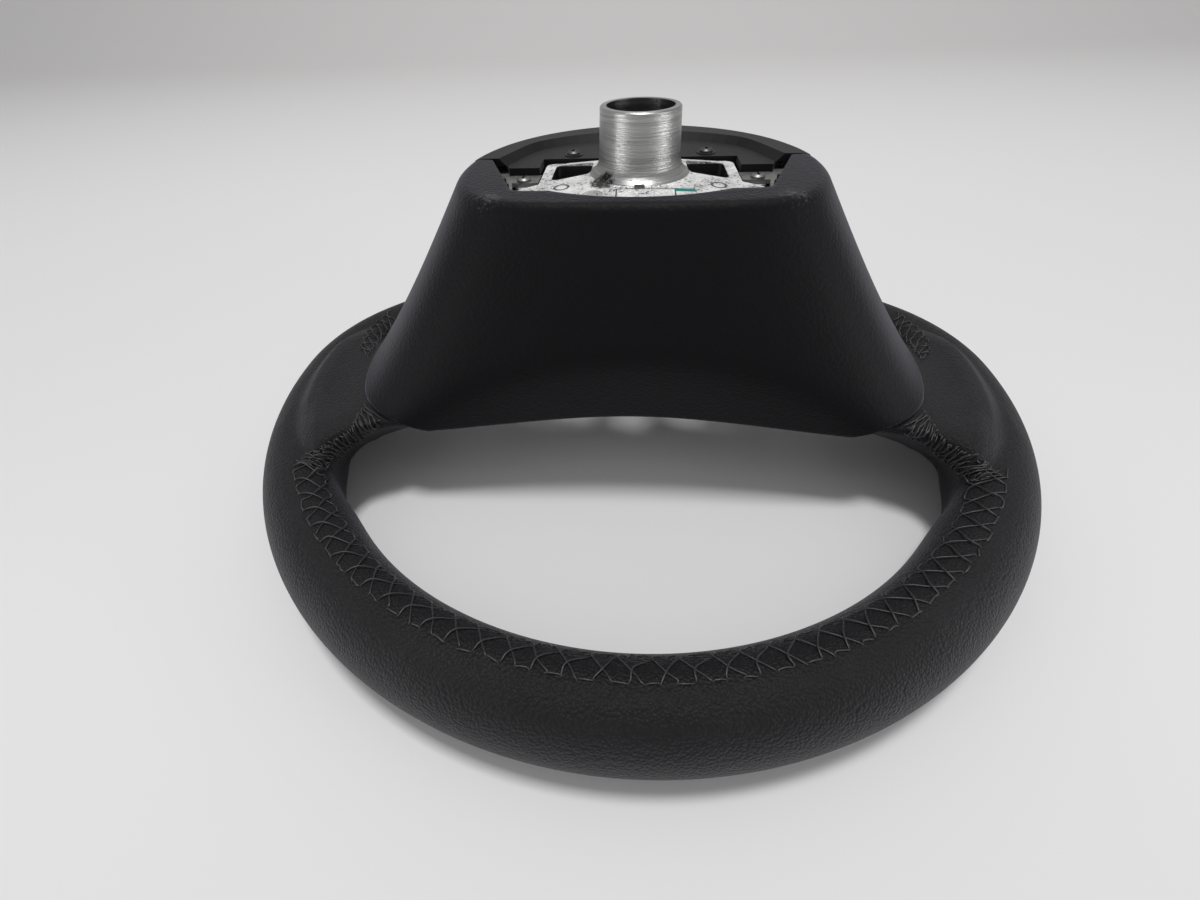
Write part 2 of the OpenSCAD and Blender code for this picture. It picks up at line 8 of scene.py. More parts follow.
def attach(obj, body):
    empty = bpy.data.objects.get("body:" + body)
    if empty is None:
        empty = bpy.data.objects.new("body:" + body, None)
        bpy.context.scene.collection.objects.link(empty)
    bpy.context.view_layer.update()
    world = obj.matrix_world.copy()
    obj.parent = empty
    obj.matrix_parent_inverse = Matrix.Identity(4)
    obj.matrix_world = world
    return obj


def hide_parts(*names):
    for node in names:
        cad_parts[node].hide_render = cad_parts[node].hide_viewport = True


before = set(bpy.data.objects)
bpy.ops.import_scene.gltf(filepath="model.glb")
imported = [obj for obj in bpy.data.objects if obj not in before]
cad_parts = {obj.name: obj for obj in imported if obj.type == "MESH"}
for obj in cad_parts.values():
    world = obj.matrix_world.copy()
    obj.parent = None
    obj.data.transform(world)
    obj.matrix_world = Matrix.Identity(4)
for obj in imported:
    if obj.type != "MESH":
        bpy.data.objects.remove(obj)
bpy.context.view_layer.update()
scene = bpy.context.scene
scene.view_settings.view_transform = "Standard"
rng = np.random.default_rng(4)
print("frame loaded")

# Shapes are in millimetres, counted up from the front of the rim, which lies on the floor.
# Materials, studio and camera are in metres, from the top of the hub.
hubTop = 155.0


def metres(points):
    return (np.asarray(points, float) - (0, 0, hubTop)) / 1000


def addMesh(name, points, faces, material, flatFaces=0):
    # The last flatFaces faces are shaded flat, the others smooth
    mesh = bpy.data.meshes.new(name)
    mesh.from_pydata(metres(points).tolist(), [], [list(map(int, f)) for f in faces])
    mesh.validate()
    count = len(mesh.polygons)
    mesh.polygons.foreach_set("use_smooth", [k < count - flatFaces for k in range(count)])
    mesh.materials.append(material)
    piece = bpy.data.objects.new(name, mesh)
    scene.collection.objects.link(piece)
    return piece


def addPiece(name, points, faces, material, stands, flatFaces=0):
    piece = addMesh(name, points, faces, material, flatFaces)
    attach(piece, "root")
    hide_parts(*stands)


def gridFaces(rows, columns, closeRows=False, closeColumns=False):
    faces = []
    for i in range(rows if closeRows else rows - 1):
        for j in range(columns if closeColumns else columns - 1):
            k, m = (i + 1) % rows, (j + 1) % columns
            faces.append((i * columns + j, k * columns + j, k * columns + m, i * columns + m))
    return faces


def lerp(a, b, t):
    return a + (b - a) * t


def smoothStep(t):
    t = np.clip(t, 0, 1)
    return t * t * (3 - 2 * t)


def rise(value, span):
    # Goes smoothly from 0 to 1 over a span given as its start and its length
    start, length = span
    return smoothStep((value - start) / length)


# Shader maths: a socket that adds nodes when it is used in an expression. In the formulas of
# the materials the bare factors are shares of a mix, without a unit.
class Value:
    def __init__(self, shader, socket):
        self.shader, self.socket = shader, socket

    def maths(self, operation, *terms):
        return self.shader.add("Math", {"operation": operation}, dict(enumerate(terms)))

    def __add__(self, other): return self.maths("ADD", self, other)
    def __radd__(self, other): return self.maths("ADD", other, self)
    def __sub__(self, other): return self.maths("SUBTRACT", self, other)
    def __rsub__(self, other): return self.maths("SUBTRACT", other, self)
    def __mul__(self, other): return self.maths("MULTIPLY", self, other)
    def __rmul__(self, other): return self.maths("MULTIPLY", other, self)
    def __truediv__(self, other): return self.maths("DIVIDE", self, other)
    def __pow__(self, other): return self.maths("POWER", self, other)
    def __gt__(self, other): return self.maths("GREATER_THAN", self, other)
    def __lt__(self, other): return self.maths("LESS_THAN", self, other)
    def __abs__(self): return self.maths("ABSOLUTE", self)

    def highest(self, other):
        return self.maths("MAXIMUM", self, other)

    def clamped(self, low, high):
        return self.shader.add("MapRange", {"clamp": True},
                               {0: self, 1: low, 2: high, 3: 0.0, 4: 1.0})


class Shader:
    def __init__(self, name, constants):
        self.material = bpy.data.materials.new(name)
        self.material.use_nodes = True
        self.tree = self.material.node_tree
        self.surface = self.tree.nodes["Principled BSDF"]
        for key, value in constants.items():
            self.feed(self.surface.inputs[key], value)
        self.place = self.add("TexCoord", output="Object")
        self.x, self.y, self.z = (self.add("SeparateXYZ", {}, {0: self.place}, output=axis)
                                  for axis in range(3))

    def feed(self, socket, value):
        if isinstance(value, Value):
            self.tree.links.new(value.socket, socket)
        elif isinstance(value, tuple) and len(value) < len(socket.default_value):
            socket.default_value = (*value, 1.0)
        else:
            socket.default_value = value

    def add(self, kind, settings=None, sockets=None, output=0):
        node = self.tree.nodes.new("ShaderNode" + kind)
        for key, value in (settings or {}).items():
            setattr(node, key, value)
        for key, value in (sockets or {}).items():
            self.feed(node.inputs[key], value)
        return Value(self, node.outputs[output])

    def noise(self, size, detail=3.0, rough=0.5, stretch=None):
        place = self.place if stretch is None else self.add(
            "VectorMath", {"operation": "MULTIPLY"}, {0: self.place, 1: stretch})
        return self.add("TexNoise", {}, {"Vector": place, "Scale": 1 / size,
                                         "Detail": detail, "Roughness": rough})

    def cells(self, size):
        return self.add("TexVoronoi", {"feature": "F1"},
                        {"Vector": self.place, "Scale": 1 / size}, "Distance")

    def mix(self, factor, first, second):
        return self.add("Mix", {"data_type": "RGBA"}, {0: factor, 6: first, 7: second}, output=2)

    def mixPlain(self, factor, first, second):
        return self.add("Mix", {"data_type": "FLOAT"}, {0: factor, 2: first, 3: second})

    def bump(self, height, depth, strength=1.0, under=None):
        sockets = {"Height": height, "Distance": depth, "Strength": strength}
        if under is not None:
            sockets["Normal"] = under
        return self.add("Bump", {}, sockets)

    def finish(self, **sockets):
        names = {"colour": "Base Color", "roughness": "Roughness",
                 "metallic": "Metallic", "normal": "Normal"}
        for key, value in sockets.items():
            self.feed(self.surface.inputs[names[key]], value)
        return self.material


leatherLook = {"dark": (0.004, 0.004, 0.0047), "light": (0.0085, 0.0085, 0.0095),
               "patch": 0.03, "pebble": 0.00105, "fine": 0.0006, "fold": 0.007,
               "foldStretch": (1.0, 1.0, 2.2), "foldDepth": 0.0006, "foldStrength": 0.2,
               "grainDepth": 0.00042, "shade": (0.2, 0.9),
               "finish": {"Roughness": 0.5, "Specular IOR Level": 0.22, "Sheen Weight": 0.08,
                          "Sheen Roughness": 0.5, "Sheen Tint": (0.9, 0.9, 1.0)}}


def makeLeather():
    s = Shader("leather", leatherLook["finish"])
    wear = s.noise(leatherLook["patch"], 2)
    pebble = s.cells(leatherLook["pebble"])
    fine = s.noise(leatherLook["fine"], 4)
    folds = s.noise(leatherLook["fold"], 4, 0.6, leatherLook["foldStretch"])
    shade = (wear * 0.7 + pebble * 0.4).clamped(*leatherLook["shade"])
    colour = s.mix(shade, leatherLook["light"], leatherLook["dark"])
    base = s.bump(folds, leatherLook["foldDepth"], leatherLook["foldStrength"])
    grain = s.bump(1 - pebble * 0.9 + fine * 0.45, leatherLook["grainDepth"], 1.0, base)
    return s.finish(colour=colour, roughness=0.44 + wear * 0.14 + pebble * 0.1, normal=grain)


threadLook = {"dark": (0.012, 0.012, 0.013), "light": (0.05, 0.05, 0.052),
              "fibre": 0.00025, "fibreDepth": 0.00008, "shade": (0.35, 0.7),
              "finish": {"Roughness": 0.36, "Specular IOR Level": 0.6}}


def makeThread():
    s = Shader("thread", threadLook["finish"])
    fibre = s.noise(threadLook["fibre"], 3, 0.6)
    shade = fibre.clamped(*threadLook["shade"])
    return s.finish(colour=s.mix(shade, threadLook["dark"], threadLook["light"]),
                    normal=s.bump(fibre, threadLook["fibreDepth"], 0.8))


coverLook = {"dark": (0.0028, 0.0028, 0.0036), "light": (0.0044, 0.0044, 0.0054),
             "cloud": 0.05, "grain": 0.0011, "grainStretch": (0.7, 0.7, 1.25), "crack": 0.0016,
             "grainDepth": 0.0003, "cornerPatch": (0.12, 0.12, 0.125), "cornerPatchShare": 0.75,
             "cornerPatchAt": (0.054, -0.038, -0.0205), "cornerPatchGrain": 0.0016, "cornerPatchFade": 23,
             "cornerPatchRange": (0.40, 0.62),
             "finish": {"Roughness": 0.55, "Specular IOR Level": 0.12, "Sheen Weight": 0.23,
                        "Sheen Roughness": 0.35, "Sheen Tint": (0.85, 0.85, 1.0)}}


def makeUpperCover():
    s = Shader("upperCover", coverLook["finish"])
    cloud = s.noise(coverLook["cloud"], 3)
    hide = s.noise(coverLook["grain"], 3, 0.55, coverLook["grainStretch"])
    cracks = s.cells(coverLook["crack"])
    height = hide * 0.7 + cracks * 0.5
    # Lighter speckled patches on the two corners of the top
    x, y, z = coverLook["cornerPatchAt"]
    corner = ((abs(s.x) - x) ** 2 + (s.y - y) ** 2 + (s.z - z) ** 2) ** 0.5
    mark = s.noise(coverLook["cornerPatchGrain"], 5, 0.8) - corner * coverLook["cornerPatchFade"]
    mark = mark.clamped(*coverLook["cornerPatchRange"]) * coverLook["cornerPatchShare"]
    colour = s.mix(cloud, coverLook["dark"], coverLook["light"])
    colour = s.mix(mark, colour, coverLook["cornerPatch"])
    return s.finish(colour=colour, roughness=0.5 + hide * 0.16,
                    normal=s.bump(height, coverLook["grainDepth"], 0.8))


bowlLook = {"dark": (0.006, 0.006, 0.0068), "light": (0.011, 0.011, 0.012),
            "cloud": 0.02, "grain": 0.0007, "grainDepth": 0.00008,
            "finish": {"Roughness": 0.5, "Specular IOR Level": 0.2, "Sheen Weight": 0.08,
                       "Sheen Roughness": 0.4}}


def makeLowerCover():
    s = Shader("lowerCover", bowlLook["finish"])
    grain = s.noise(bowlLook["grain"], 3)
    cloud = s.noise(bowlLook["cloud"], 3)
    return s.finish(colour=s.mix(cloud, bowlLook["dark"], bowlLook["light"]),
                    roughness=0.45 + grain * 0.16,
                    normal=s.bump(grain, bowlLook["grainDepth"], 0.6))


castLook = {"pale": (0.94, 0.94, 0.93), "grey": (0.60, 0.60, 0.60), "pit": (0.05, 0.05, 0.05),
            "bore": (0.12, 0.12, 0.125), "pocket": (0.13, 0.13, 0.135), "line": (0.09, 0.09, 0.09),
            "tubeDark": (0.24, 0.24, 0.24), "tubeLight": (0.56, 0.56, 0.55),
            "hollowShade": (0.02, 0.02, 0.02), "craterLight": (0.3, 0.3, 0.3),
            "teal": (0.0, 0.22, 0.19), "grit": 0.0016, "sand": 0.0012, "cloud": 0.009,
            "speck": 0.0011, "groove": 0.004, "grooveStretch": (0.12, 0.12, 12.0),
            "pitShade": (0.36, 0.43), "plateShade": (0.38, 0.58), "tubeShade": (0.3, 0.7),
            "craterShade": (0.48, 0.66), "chipped": 0.68, "roughDepth": 0.0007,
            "metallic": (0.4, 0.55)}
# Where the casting changes its finish, and where shade is painted in the bore and the pockets
castParts = {"tubeFoot": (-0.0065, -0.0045), "tubeRadius": 0.0205, "boreRadius": 0.0134,
             "boreFoot": -0.06, "plateFoot": -0.03, "pocketAt": (0.0283, 0.0060),
             "pocketHalf": (0.0083, 0.0117), "pocketTop": -0.0252, "pocketFoot": -0.042}
# Small marks on the back of the plate: painted shade along outlines and in a hollow, and a paint
# mark
castMarks = {"ringAt": (0.031, -0.0147), "ringRadius": 0.0028, "ringLine": 0.0005,
             "padAt": (0.0024, -0.031), "padHalf": (0.0112, 0.0096), "padLine": 0.0003,
             "craterAt": (-0.0145, -0.0145, -0.024), "craterRadius": (0.0058, 0.0074),
             "paintAt": (0.0175, -0.0225), "paintHalf": (0.0042, 0.0014), "paintTilt": 0.03}


def makeCastMetal():
    s = Shader("castMetal", {})
    radius = (s.x * s.x + s.y * s.y) ** 0.5
    grit = s.noise(castLook["grit"], 5, 0.65)
    sand = s.cells(castLook["sand"])
    cloud = s.noise(castLook["cloud"], 4, 0.6)
    turned = s.noise(castLook["groove"], 4, 0.7, castLook["grooveStretch"])
    # The tube is turned smooth down to its flared foot, where the rough casting begins
    tube = (s.z + radius * 0.9 + cloud * 0.004).clamped(*castParts["tubeFoot"])
    tube = tube * (radius < castParts["tubeRadius"])
    bore = (radius < castParts["boreRadius"]) * (s.z > castParts["boreFoot"])
    pits = s.noise(castLook["speck"], 2, 0.5) * 0.7 + cloud * 0.3
    shade = (cloud * 0.6 + grit * 0.4).clamped(*castLook["plateShade"])
    plate = s.mix(shade, castLook["grey"], castLook["pale"])
    plate = s.mix(pits.clamped(*castLook["pitShade"]), castLook["pit"], plate)
    # Marks on the plate: dark outlines of two round ejector marks and of the pad, painted shade
    # along their edges, and a rough hollow, painted dark as its shade
    x, y = castMarks["ringAt"]
    ring = abs(((abs(s.x) - x) ** 2 + (s.y - y) ** 2) ** 0.5 - castMarks["ringRadius"])
    x, y, z = castMarks["craterAt"]
    hollow = ((s.x - x) ** 2 + (s.y - y) ** 2 + (s.z - z) ** 2) ** 0.5
    (x, y), (halfWidth, halfDepth) = castMarks["padAt"], castMarks["padHalf"]
    pad = abs((abs(s.x - x) - halfWidth).highest(abs(s.y - y) - halfDepth))
    onPlate = s.z > castParts["plateFoot"]
    plate = s.mix((ring < castMarks["ringLine"]) * onPlate, plate, castLook["line"])
    plate = s.mix((pad < castMarks["padLine"]) * onPlate, plate, castLook["line"])
    hub = s.mix(turned.clamped(*castLook["tubeShade"]), castLook["tubeDark"], castLook["tubeLight"])
    colour = s.mix(tube, plate, hub)
    # The rough hollow is painted near black as the shade inside it, with lighter grit
    hollowShadeMask = (hollow + grit * 0.003).clamped(*castMarks["craterRadius"])
    shade = grit.clamped(*castLook["craterShade"])
    rough = s.mix(shade, castLook["hollowShade"], castLook["craterLight"])
    colour = s.mix(hollowShadeMask, rough, colour)
    (x, y), (halfWidth, halfDepth) = castMarks["paintAt"], castMarks["paintHalf"]
    paint = (abs(s.x - x) < halfWidth) * (abs(s.y - y - s.x * castMarks["paintTilt"]) < halfDepth)
    paint = paint * (cloud + grit * 0.8 > castLook["chipped"])
    colour = s.mix(paint, colour, castLook["teal"])
    # Inside the two pockets the casting is smooth, and its colour is painted dark as the shade in
    # the recess
    (x, y), (halfWidth, halfDepth) = castParts["pocketAt"], castParts["pocketHalf"]
    pocket = (abs(abs(s.x) - x) < halfWidth) * (abs(s.y - y) < halfDepth)
    pocket = pocket * (s.z < castParts["pocketTop"]) * (s.z > castParts["pocketFoot"])
    colour = s.mix(pocket, colour, castLook["pocket"])
    # The bore is painted dark, as painted shade inside the tube
    colour = s.mix(bore, colour, castLook["bore"])
    smooth = tube.highest(pocket.highest(bore))
    roughness = s.mixPlain(smooth, 0.36 + cloud * 0.22, 0.26 + turned * 0.14)
    height = (1 - smooth) * (grit * 0.9 + sand * 0.5) + tube * turned * 0.2
    rawMetal, moreSmooth = castLook["metallic"]
    return s.finish(colour=colour, metallic=rawMetal + smooth * moreSmooth, roughness=roughness,
                    normal=s.bump(height, castLook["roughDepth"], 0.85))


plainLook = {"cloud": 0.003, "shade": (0.3, 0.7), "darker": 0.7, "depth": 0.0001}


def makePlainMetal(name, colour, dull, metallic=0.9):
    s = Shader(name, {"Metallic": metallic})
    cloud = s.noise(plainLook["cloud"], 4, 0.6)
    darker = tuple(c * plainLook["darker"] for c in colour)
    return s.finish(colour=s.mix(cloud.clamped(*plainLook["shade"]), darker, colour),
                    roughness=dull + cloud * 0.2, normal=s.bump(cloud, plainLook["depth"], 0.5))


leather, thread, upperPlastic = makeLeather(), makeThread(), makeUpperCover()
# The CAD's own shapes that stay in the picture, with their materials
cadLooks = {"lower_rear_cover": makeLowerCover(),
            "armature": makeCastMetal(),
            "splined_bush": makePlainMetal("bushSteel", (0.20, 0.20, 0.21), 0.3),
            "left_bracket": makePlainMetal("bracketSteel", (0.33, 0.33, 0.32), 0.42),
            "ledge_screws": makePlainMetal("darkScrew", (0.12, 0.12, 0.12), 0.35),
            "ledge_washers": makePlainMetal("darkWasher", (0.05, 0.05, 0.05), 0.45, 0.5),
            "bracket_screws": makePlainMetal("brightScrew", (0.28, 0.28, 0.27), 0.34)}
cadLooks["right_bracket"] = cadLooks["left_bracket"]
for node, material in cadLooks.items():
    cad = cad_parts[node]
    cad.data.materials.clear()
    cad.data.materials.append(material)
print("materials made", len(cadLooks))

# The leather's surface is where leatherField is 0: the rim's oval tube and the two
# spokes, which flow into each other
rim = {"radius": 172.65, "halfWidth": 17.35, "halfDepth": 20.85, "corner": 80.0, "flat": 205.0,
       "thumbAngle": 30.0, "thumbFace": 5.0, "thumbSpread": (6.0, 45.0), "thumbRise": -3.8}
cornerX = rim["radius"] - rim["corner"]
cornerSweep = math.acos(cornerX / (rim["flat"] - rim["corner"]))
flatY = -(rim["flat"] - rim["corner"]) * math.sin(cornerSweep)
tiny = 1e-6
# The far and near edges of the spoke's top are given at the height edgeAt
spoke = {"start": 101.0, "end": 168.0, "top": 49.5, "front": 10.0, "edgeAt": 47.0,
         "fall": 9.5, "fallSpan": (122.0, 42.0), "arch": 0.0011, "archAt": -24.0,
         "topNear": -67.5, "slope": 0.81, "twist": 0.02, "twistTo": 135.0, "twistRun": 34.0,
         "topFar": 17.0, "farSlope": 0.35, "nearEdge": 10.0, "farEdge": 24.0,
         "edgeSpan": (30.0, 25.0), "topRound": 10.0, "sideRound": 6.0, "endRound": 3.0}
# Widths of the hollow curves between rim and spoke, and the spans over which they change
join = {"near": 22.0, "far": 28.0, "low": 20.0, "high": 34.0, "outside": 4.0,
        "nearSpan": (40.0, 20.0), "crownSpan": (-1.0, 10.0), "crownHeights": (12.0, 16.0),
        "webSpan": (5.0, 10.0), "webHeights": (5.0, 12.0), "wideHeights": (20.0, 18.0)}


def centreOffset(x, y):
    # How far outside the rim's centre line a place is: a circle, two corners and a flat arc
    x = np.abs(x)
    inCorner = np.arctan2(y, x - cornerX) < cornerSweep
    bent = np.where(inCorner, np.hypot(x - cornerX, y) - rim["corner"],
                    np.hypot(x, y - flatY) - rim["flat"])
    return np.where(y < 0, np.hypot(x, y) - rim["radius"], bent)


def smoothMax(a, b, width):
    # The higher of two fields, with a rounded change from one to the other
    near = np.maximum(width - np.abs(a - b), 0) / width
    return np.maximum(a, b) + near * near * width / 4


def rimField(x, y, z):
    across, up = centreOffset(x, y), z - rim["halfDepth"]
    a, b = rim["halfWidth"], rim["halfDepth"]
    q = np.sqrt((across / a) ** 2 + (up / b) ** 2) + tiny
    steep = np.sqrt((across / a ** 2) ** 2 + (up / b ** 2) ** 2) + tiny
    # A shallow hollow for the thumb, on the inner side of the grip
    turn = np.degrees(np.arctan2(-y, np.abs(x))) - rim["thumbAngle"]
    face = np.degrees(np.arctan2(-up, -across)) - rim["thumbFace"]
    along, around = rim["thumbSpread"]
    thumb = rim["thumbRise"] * np.exp(-(turn / along) ** 2 - (face / around) ** 2)
    return q * (q - 1) / steep - thumb


def spokeField(x, y, z):
    x = np.abs(x)
    top = spoke["top"] - spoke["fall"] * rise(x, spoke["fallSpan"])
    top = top - spoke["arch"] * (y - spoke["archAt"]) ** 2
    # The near side is undercut, more so towards the cover
    slope = spoke["slope"] + np.clip(spoke["twistTo"] - x, 0, spoke["twistRun"]) * spoke["twist"]
    down = spoke["edgeAt"] - z
    near = (spoke["topNear"] + down * slope - y) / np.hypot(1, slope)
    far = (y - spoke["topFar"] + down * spoke["farSlope"]) / math.hypot(1, spoke["farSlope"])
    edge = lerp(spoke["farEdge"], spoke["nearEdge"], rise(-y, spoke["edgeSpan"]))
    body = smoothMax(smoothMax(z - top, spoke["front"] - z, spoke["topRound"]),
                     smoothMax(near, far, spoke["sideRound"]), edge)
    return smoothMax(body, np.maximum(x - spoke["end"], spoke["start"] - x), spoke["endRound"])


def leatherField(x, y, z):
    # Inside the rim a wide hollow curve joins it to the spoke, and none shows outside its crown
    inwards = -centreOffset(x, y)
    crown = lerp(join["far"], join["near"], rise(-y, join["nearSpan"]))
    crown = lerp(join["outside"], crown,
                 rise(inwards, join["crownSpan"]) * rise(z, join["crownHeights"]))
    web = rise(inwards, join["webSpan"]) * rise(z, join["webHeights"])
    wide = lerp(join["low"], join["high"], rise(z, join["wideHeights"]))
    return -smoothMax(-rimField(x, y, z), -spokeField(x, y, z), lerp(crown, wide, web))


def settle(points, lift=0.0, rounds=4):
    # Moves points along the field's slope until they stand lift above the leather
    points = np.array(points, float)
    small = 0.05
    for _ in range(rounds):
        value = leatherField(*points.T) - lift
        slope = np.stack([(leatherField(*(points + d).T) - leatherField(*(points - d).T))
                          / (2 * small) for d in np.eye(3) * small], axis=1)
        points -= slope * (value / np.maximum((slope ** 2).sum(1), 1e-3))[:, None]
    return points


def surfaceOf(field, low, high, step):
    # One point in each grid cell that the surface passes through, joined to its neighbours
    axes = [np.arange(a, b + step, step) for a, b in zip(low, high)]
    values = field(*np.meshgrid(*axes, indexing="ij"))
    shape = np.array(values.shape) - 1
    total, count = np.zeros((*shape, 3)), np.zeros(shape)
    for axis in range(3):
        others = [d for d in range(3) if d != axis]
        for near in (0, 1):
            for far in (0, 1):
                start = [0, 0, 0]
                start[others[0]], start[others[1]] = near, far
                end = list(start)
                end[axis] = 1
                a = values[tuple(slice(s, s + n) for s, n in zip(start, shape))]
                b = values[tuple(slice(s, s + n) for s, n in zip(end, shape))]
                crosses = (a < 0) != (b < 0)
                share = np.where(crosses, a / np.where(crosses, a - b, 1), 0)
                for d in range(3):
                    total[..., d] += crosses * (share if d == axis else start[d])
                count += crosses
    cell = np.full(shape, -1)
    found = np.argwhere(count > 0)
    cell[tuple(found.T)] = np.arange(len(found))
    points = (found + total[tuple(found.T)] / count[tuple(found.T)][:, None]) * step + low
    faces = []
    for axis in range(3):
        u, v = [(axis + 1) % 3, (axis + 2) % 3]
        lower = [slice(1, n) for n in shape]
        lower[axis] = slice(0, shape[axis])
        upper = list(lower)
        upper[axis] = slice(1, shape[axis] + 1)
        a, b = values[tuple(lower)] < 0, values[tuple(upper)] < 0
        for flip, mask in ((False, a & ~b), (True, ~a & b)):
            spots = np.argwhere(mask) + [s.start for s in lower]
            corners = []
            for du, dv in ((0, 0), (1, 0), (1, 1), (0, 1)):
                shift = np.zeros(3, int)
                shift[u], shift[v] = du, dv
                corners.append(cell[tuple((spots - shift).T)])
            quads = np.stack(corners, 1)
            faces.append(quads[:, ::-1] if flip else quads)
    return points, np.concatenate(faces)


leatherMesh = {"step": 1.7, "low": (-195.0, -195.0, -3.0), "high": (195.0, 145.0, 56.0)}
points, faces = surfaceOf(leatherField, np.array(leatherMesh["low"]), leatherMesh["high"],
                          leatherMesh["step"])
points = settle(points)
addPiece("rimLeather", points, faces, leather, ("rim_leather", "rim_foam"))
print("leather made", len(faces))

# Lacing: a net of strands between an inner and an outer row of holes
lace = {"thickness": 0.58, "pitch": 9.6, "inner": 43.0, "outer": 5.0, "sides": 6, "spacing": 0.6,
        "hole": -0.7, "rest": 0.1, "overrun": 0.4, "sideWobble": 0.6, "trialPoints": 40,
        "twist": 0.16, "twistPerLength": 2.6, "across": (0.1, 0.2, 1.0)}
# The four strands of a stitch: place along the seam, share across it, and how high it lies
stitchStrands = (
    ((-0.32, 0, "hole"), (-0.26, 0.04, "under"), (0, 0.25, "over"), (0.5, 0.66, "under"),
     (0.82, 0.96, "under"), (0.88, 1, "hole")),
    ((0.35, 1, "hole"), (0.37, 0.95, "under"), (0.5, 0.66, "over"), (1, 0.25, "under"),
     (1.23, 0.04, "under"), (1.28, 0, "hole")),
    ((0.27, 0, "hole"), (0.33, 0, "under"), (0.62, 0, "under"), (0.68, 0, "hole")),
    ((0.86, 1, "hole"), (0.93, 1, "under"), (1.28, 1, "under"), (1.34, 1, "hole")))
strands = []


def rimSeam(angle, across):
    # across runs from 0 at the inner row to 1 at the outer row
    b = np.radians(lerp(lace["inner"], lace["outer"], across))
    rho = rim["radius"] - rim["halfWidth"] * np.sin(b)
    a = np.radians(angle)
    return np.stack([rho * np.cos(a), rho * np.sin(a), rim["halfDepth"] * (1 + np.cos(b))], -1)


def curveThrough(points, where):
    # Smooth curve through the points, at places from 0 to 1 along them
    points = np.asarray(points, float)
    n = len(points) - 1
    before, after = 2 * points[0] - points[1], 2 * points[-1] - points[-2]
    padded = np.concatenate([[before], points, [after]])
    s = np.clip(where, 0, 1) * n
    i = np.minimum(s.astype(int), n - 1)
    t = (s - i)[:, None]
    a, b, c, d = (padded[i + k] for k in range(4))
    return 0.5 * (2 * b + (c - a) * t + (2 * a - 5 * b + 4 * c - d) * t ** 2
                  + (3 * b - a - 3 * c + d) * t ** 3)


def strandPath(sheet, stops, wobble):
    stops = np.array(stops, float)
    stops[:, 0] += rng.normal(0, wobble, len(stops))
    stops[:, 1] += rng.normal(0, wobble * lace["sideWobble"], len(stops))
    path = curveThrough(stops, np.linspace(0, 1, lace["trialPoints"]))
    start = sheet(path[:, 0], path[:, 1])
    length = np.linalg.norm(np.diff(start, axis=0), axis=1).sum()
    path = curveThrough(stops, np.linspace(0, 1, max(int(length / lace["spacing"]), 5)))
    lifts = path[:, 2] + lace["thickness"] * lace["rest"]
    return settle(sheet(path[:, 0], path[:, 1]), lifts, 3)


def addNet(sheet, count, wobble, under=0.3, over=1.25):
    # sheet(s, t) gives the point at stitch s and share t across the seam
    lifts = {"hole": lace["hole"], "under": under, "over": over}
    for i in range(count):
        for stops in stitchStrands:
            places = [(i + s, t, lifts[lift]) for s, t, lift in stops]
            strands.append(strandPath(sheet, places, wobble))


def addTubes(name, paths, thickness, material, stands):
    sides = lace["sides"]
    allPoints, allFaces, offset = [], [], 0
    for path in paths:
        ahead = np.gradient(path, axis=0)
        ahead /= np.linalg.norm(ahead, axis=1)[:, None]
        side = np.cross(ahead, lace["across"])
        side /= np.linalg.norm(side, axis=1)[:, None]
        up = np.cross(side, ahead)
        along = np.concatenate([[0], np.cumsum(np.linalg.norm(np.diff(path, axis=0), axis=1))])
        turn = np.linspace(0, 2 * math.pi, sides, endpoint=False)[None, :]
        twisted = 2 * turn + lace["twistPerLength"] * along[:, None]
        radius = thickness / 2 * (1 + lace["twist"] * np.cos(twisted))
        spin = np.cos(turn)[..., None] * side[:, None, :] + np.sin(turn)[..., None] * up[:, None, :]
        ring = path[:, None, :] + radius[..., None] * spin
        allPoints.append(ring.reshape(-1, 3))
        tube = gridFaces(len(path), sides, closeColumns=True)
        tube += [tuple(range(sides - 1, -1, -1)),
                 tuple((len(path) - 1) * sides + k for k in range(sides))]
        allFaces += [tuple(offset + v for v in f) for f in tube]
        offset += len(path) * sides
    addPiece(name, np.concatenate(allPoints), allFaces, material, stands)


nearRun = {"first": 209.0, "last": 331.0, "inside": 6.0, "wobble": 0.045}
sweep = nearRun["last"] - nearRun["first"]
stitches = round(math.radians(sweep) * (rim["radius"] - nearRun["inside"]) / lace["pitch"])
turnPerStitch = sweep / stitches
addNet(lambda s, t: rimSeam(nearRun["first"] + s * turnPerStitch, t), stitches, nearRun["wobble"])

# On the spokes the lacing is pulled tight and runs over the near edge up to the cover; a
# looser run comes out behind the cover and follows the far part of the rim
sideRuns = {
    "near": {"outer": [(-148, -84.5, 41), (-144.5, -78.5, 42), (-136.3, -73.7, 44),
                       (-129.5, -67.2, 45.4), (-126.9, -59, 48), (-126.4, -52.5, 49)],
             "inner": [(-139.2, -85.6, 38), (-136.6, -79.5, 37), (-136.2, -68.8, 32),
                       (-131, -63, 33), (-120.5, -62.6, 42), (-116, -60, 47)],
             "stitches": 17, "wobble": 0.15, "under": 0.25, "over": 0.95},
    "far": {"outer": [(-149.8, -4.7, 46), (-153.3, 6.2, 45.5), (-156.6, 18, 44),
                      (-158.6, 32.9, 41), (-156.2, 42, 41), (-154.1, 49, 41)],
            "inner": [(-143.4, -8.7, 46), (-144.3, 0.3, 45), (-147.6, 14, 42),
                      (-150, 27, 38.5), (-150.2, 36, 37), (-149, 43.6, 38)],
            "stitches": 7, "wobble": 0.08, "under": 0.3, "over": 1.1}}


